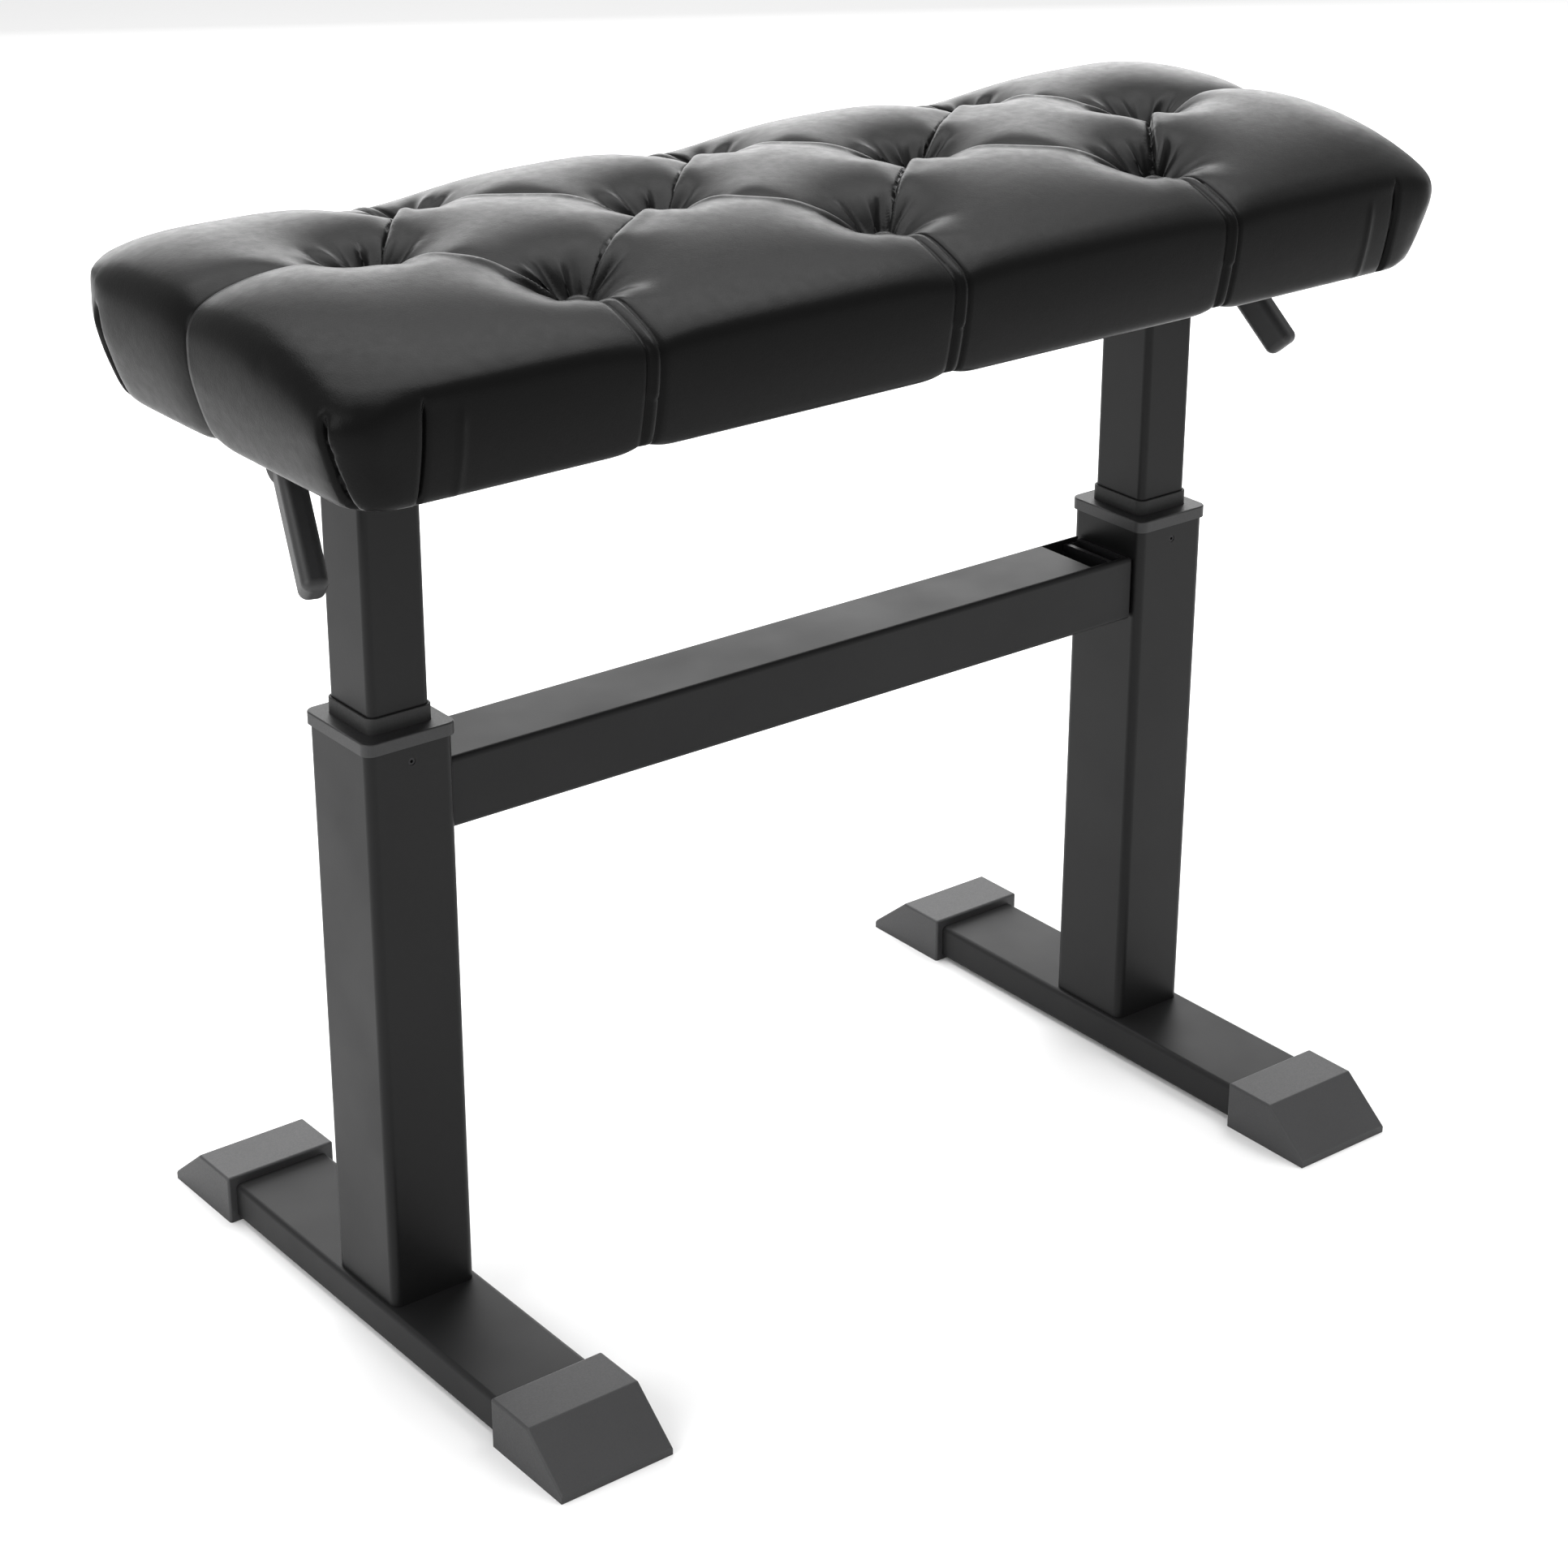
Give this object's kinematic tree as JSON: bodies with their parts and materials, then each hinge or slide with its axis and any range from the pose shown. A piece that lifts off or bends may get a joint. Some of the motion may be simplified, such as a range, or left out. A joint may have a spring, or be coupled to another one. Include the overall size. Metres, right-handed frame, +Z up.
{
  "type": "piano bench",
  "caption": "Height-adjustable bench with a tufted padded seat on gas-sprung telescopic columns joined by a crossbar, on flat T feet with end caps, with release levers under the seat.",
  "frame": {"origin": "on the floor under the middle of the seat", "axes": "+X along the seat to its right end, +Y to the back, +Z up"},
  "size_m": [0.74, 0.402, 0.607],
  "materials": {
    "powder_coat": "satin powder coat",
    "column_coat": "satin powder coat",
    "moulded_black": "moulded, fine grain",
    "foot_cap": "matt, fine grain",
    "wiper_rubber": "matt black",
    "steel": "bright zinc",
    "black_steel": "black oxide",
    "rod_chrome": "hard chrome",
    "acetal": "machined",
    "plywood": "raw birch plywood",
    "foam": "open-cell foam",
    "leatherette": "soft sheen, fine grain",
    "lining": "non-woven cloth",
    "twine": "waxed twine"
  },
  "bodies": {
    "base": {"base_plate_left": "black_steel", "base_plate_right": "black_steel", "collar_left": "moulded_black", "collar_right": "moulded_black", "collar_screws": "black_steel", "column_wiper_left": "wiper_rubber", "column_wiper_right": "wiper_rubber", "crossbar": "powder_coat", "crossbar_bolts": "black_steel", "crossbar_bracket_left": "black_steel", "crossbar_bracket_right": "black_steel", "cylinder_nuts": "steel", "foot_bar_left": "powder_coat", "foot_bar_right": "powder_coat", "foot_cap_front_left": "foot_cap", "foot_cap_front_right": "foot_cap", "foot_cap_rear_left": "foot_cap", "foot_cap_rear_right": "foot_cap", "gas_cylinder_left": "black_steel", "gas_cylinder_right": "black_steel", "outer_column_left": "column_coat", "outer_column_right": "column_coat", "rod_guide_left": "steel", "rod_guide_right": "steel"},
    "seat": {"board_inserts": "steel", "dust_cover": "lining", "gas_rod_left": "rod_chrome", "gas_rod_right": "rod_chrome", "inner_column_left": "column_coat", "inner_column_right": "column_coat", "lever_bushes_left": "acetal", "lever_bushes_right": "acetal", "rod_mount_left": "steel", "rod_mount_right": "steel", "seat_board": "plywood", "seat_cover": "leatherette", "seat_foam": "foam", "slide_bush_left": "acetal", "slide_bush_right": "acetal", "top_plate_left": "black_steel", "top_plate_right": "black_steel", "top_plate_screws": "steel", "tuft_buttons": "leatherette", "tuft_ties": "twine", "tuft_washers": "steel"},
    "lever_left": {"lever_cam_left": "steel", "lever_clip_left": "steel", "lever_handle_left": "moulded_black", "lever_shaft_left": "steel"},
    "lever_right": {"lever_cam_right": "steel", "lever_clip_right": "steel", "lever_handle_right": "moulded_black", "lever_shaft_right": "steel"},
    "release_pin_left": {"release_pin_left": "steel"},
    "release_pin_right": {"release_pin_right": "steel"}
  },
  "joints": [
    {"name": "seat_height", "type": "slide", "parent": "base", "child": "seat", "axis": [0, 0, 1], "range_m": [-0.12, 0]},
    {"name": "lever_left_pull", "type": "hinge", "parent": "seat", "child": "lever_left", "pos_m": [-0.268, -0.007, 0.508], "axis": [-1, 0, 0], "range_deg": [0, 20], "stiffness_Nm_per_rad": 0.5, "springref_deg": -28.65},
    {"name": "release_pin_left_press", "type": "slide", "parent": "seat", "child": "release_pin_left", "axis": [0, 0, -1], "range_m": [0, 0.0026]},
    {"name": "lever_right_pull", "type": "hinge", "parent": "seat", "child": "lever_right", "pos_m": [0.268, -0.007, 0.508], "axis": [-1, 0, 0], "range_deg": [0, 20], "stiffness_Nm_per_rad": 0.5, "springref_deg": -28.65},
    {"name": "release_pin_right_press", "type": "slide", "parent": "seat", "child": "release_pin_right", "axis": [0, 0, -1], "range_m": [0, 0.0026]}
  ],
  "couplings": [
    {"joint": "release_pin_left_press", "follows": "lever_left_pull", "m_per_rad": 0.00716},
    {"joint": "release_pin_right_press", "follows": "lever_right_pull", "m_per_rad": 0.00716}
  ]
}
